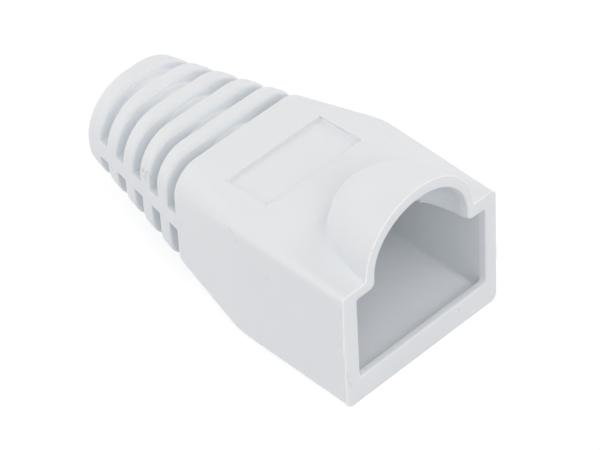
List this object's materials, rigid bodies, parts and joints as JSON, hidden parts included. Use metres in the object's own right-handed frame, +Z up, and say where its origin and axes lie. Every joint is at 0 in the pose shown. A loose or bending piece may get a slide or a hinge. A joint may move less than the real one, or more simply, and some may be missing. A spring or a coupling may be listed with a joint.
{
  "type": "rj45 strain relief boot",
  "caption": "Soft moulded boot for a modular network plug: a square sleeve with a latch hood that tapers to a grooved, flexible cable neck.",
  "frame": {"origin": "middle of the length and width, on the plane the sleeve stands on", "axes": "+Y along the cable from the mouth to the neck, +Z up on the hood's side, X across the boot"},
  "size_m": [0.0142, 0.0274, 0.0146],
  "materials": {
    "soft_pvc": "satin, as moulded"
  },
  "bodies": {
    "root": {"boot": "soft_pvc"}
  },
  "joints": []
}
